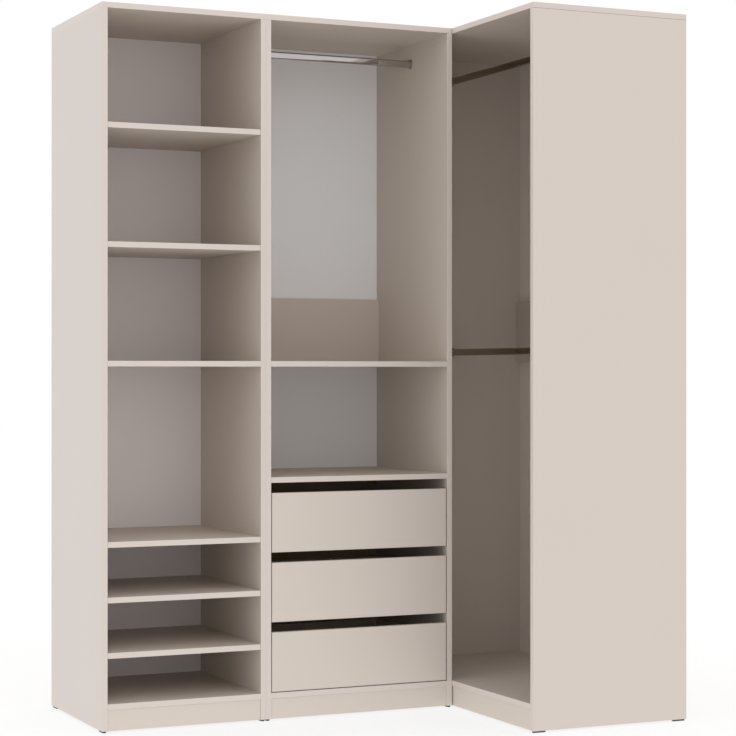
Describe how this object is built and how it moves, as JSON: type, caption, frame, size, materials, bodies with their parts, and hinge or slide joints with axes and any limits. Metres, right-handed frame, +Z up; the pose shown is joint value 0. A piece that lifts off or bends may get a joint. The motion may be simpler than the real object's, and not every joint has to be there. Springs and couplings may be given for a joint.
{
  "type": "corner wardrobe",
  "caption": "Open corner wardrobe of board carcasses: a shelf column, a hanging module with inset drawers and a turned corner module with hanging rails.",
  "frame": {"origin": "on the floor, under the middle of the footprint's bounding rectangle", "axes": "+X to the right along the back wall, +Y into the back wall, +Z up"},
  "size_m": [1.595, 1, 2.035],
  "materials": {
    "melamine_board": "matt melamine-faced board in warm greige with a matching edge band",
    "back_panel": "thin lacquered fibreboard in a cooler light grey",
    "rail_chrome": "bright chromed steel tube and sockets",
    "runner_steel": "pale powder-coated bent steel",
    "roller_plastic": "white moulded roller plastic",
    "glide_plastic": "dark grey moulded plastic",
    "fitting_zinc": "dull zinc cams, bolts and steel pins"
  },
  "bodies": {
    "carcass": {"left_outer_side": "melamine_board", "left_inner_side": "melamine_board", "left_top": "melamine_board", "left_bottom": "melamine_board", "left_plinth": "melamine_board", "left_back": "back_panel", "left_shelf_1": "melamine_board", "left_shelf_2": "melamine_board", "left_shelf_3": "melamine_board", "left_shelf_4": "melamine_board", "left_shelf_5": "melamine_board", "left_shelf_6": "melamine_board", "middle_left_side": "melamine_board", "middle_right_side": "melamine_board", "middle_top": "melamine_board", "middle_bottom": "melamine_board", "middle_plinth": "melamine_board", "middle_back": "back_panel", "middle_stretcher": "melamine_board", "middle_shelf": "melamine_board", "drawer_cover_shelf": "melamine_board", "corner_wall_side": "melamine_board", "corner_end_side": "melamine_board", "corner_top": "melamine_board", "corner_bottom": "melamine_board", "corner_plinth": "melamine_board", "corner_back": "back_panel", "corner_stretcher": "melamine_board", "middle_rail": "rail_chrome", "corner_upper_rail": "rail_chrome", "corner_lower_rail": "rail_chrome", "rail_sockets": "rail_chrome", "foot_glides": "glide_plastic", "cam_fittings": "fitting_zinc", "shelf_pins": "fitting_zinc", "runner_carcass_profiles": "runner_steel"},
    "drawer_1": {"drawer_1_front": "melamine_board", "drawer_1_left_side": "melamine_board", "drawer_1_right_side": "melamine_board", "drawer_1_back": "melamine_board", "drawer_1_bottom": "back_panel", "drawer_1_runner_profiles": "runner_steel"},
    "front_roller_pair_1": {"drawer_1_front_rollers": "roller_plastic"},
    "rear_roller_pair_1": {"drawer_1_rear_rollers": "roller_plastic"},
    "drawer_2": {"drawer_2_front": "melamine_board", "drawer_2_left_side": "melamine_board", "drawer_2_right_side": "melamine_board", "drawer_2_back": "melamine_board", "drawer_2_bottom": "back_panel", "drawer_2_runner_profiles": "runner_steel"},
    "front_roller_pair_2": {"drawer_2_front_rollers": "roller_plastic"},
    "rear_roller_pair_2": {"drawer_2_rear_rollers": "roller_plastic"},
    "drawer_3": {"drawer_3_front": "melamine_board", "drawer_3_left_side": "melamine_board", "drawer_3_right_side": "melamine_board", "drawer_3_back": "melamine_board", "drawer_3_bottom": "back_panel", "drawer_3_runner_profiles": "runner_steel"},
    "front_roller_pair_3": {"drawer_3_front_rollers": "roller_plastic"},
    "rear_roller_pair_3": {"drawer_3_rear_rollers": "roller_plastic"}
  },
  "joints": [
    {"name": "drawer_1_slide", "type": "slide", "parent": "carcass", "child": "drawer_1", "axis": [0, -1, 0], "range_m": [0, 0.34]},
    {"name": "front_rollers_1_spin", "type": "hinge", "parent": "carcass", "child": "front_roller_pair_1", "pos_m": [-0.0075, 0.027, 0.5073], "axis": [1, 0, 0], "continuous": true},
    {"name": "rear_rollers_1_spin", "type": "hinge", "parent": "drawer_1", "child": "rear_roller_pair_1", "pos_m": [-0.0075, 0.451, 0.5073], "axis": [1, 0, 0], "continuous": true},
    {"name": "drawer_2_slide", "type": "slide", "parent": "carcass", "child": "drawer_2", "axis": [0, -1, 0], "range_m": [0, 0.34]},
    {"name": "front_rollers_2_spin", "type": "hinge", "parent": "carcass", "child": "front_roller_pair_2", "pos_m": [-0.0075, 0.027, 0.3063], "axis": [1, 0, 0], "continuous": true},
    {"name": "rear_rollers_2_spin", "type": "hinge", "parent": "drawer_2", "child": "rear_roller_pair_2", "pos_m": [-0.0075, 0.451, 0.3063], "axis": [1, 0, 0], "continuous": true},
    {"name": "drawer_3_slide", "type": "slide", "parent": "carcass", "child": "drawer_3", "axis": [0, -1, 0], "range_m": [0, 0.34]},
    {"name": "front_rollers_3_spin", "type": "hinge", "parent": "carcass", "child": "front_roller_pair_3", "pos_m": [-0.0075, 0.027, 0.1053], "axis": [1, 0, 0], "continuous": true},
    {"name": "rear_rollers_3_spin", "type": "hinge", "parent": "drawer_3", "child": "rear_roller_pair_3", "pos_m": [-0.0075, 0.451, 0.1053], "axis": [1, 0, 0], "continuous": true}
  ],
  "couplings": [
    {"joint": "front_rollers_1_spin", "follows": "drawer_1_slide", "rad_per_m": 125},
    {"joint": "rear_rollers_1_spin", "follows": "drawer_1_slide", "rad_per_m": 125},
    {"joint": "front_rollers_2_spin", "follows": "drawer_2_slide", "rad_per_m": 125},
    {"joint": "rear_rollers_2_spin", "follows": "drawer_2_slide", "rad_per_m": 125},
    {"joint": "front_rollers_3_spin", "follows": "drawer_3_slide", "rad_per_m": 125},
    {"joint": "rear_rollers_3_spin", "follows": "drawer_3_slide", "rad_per_m": 125}
  ]
}
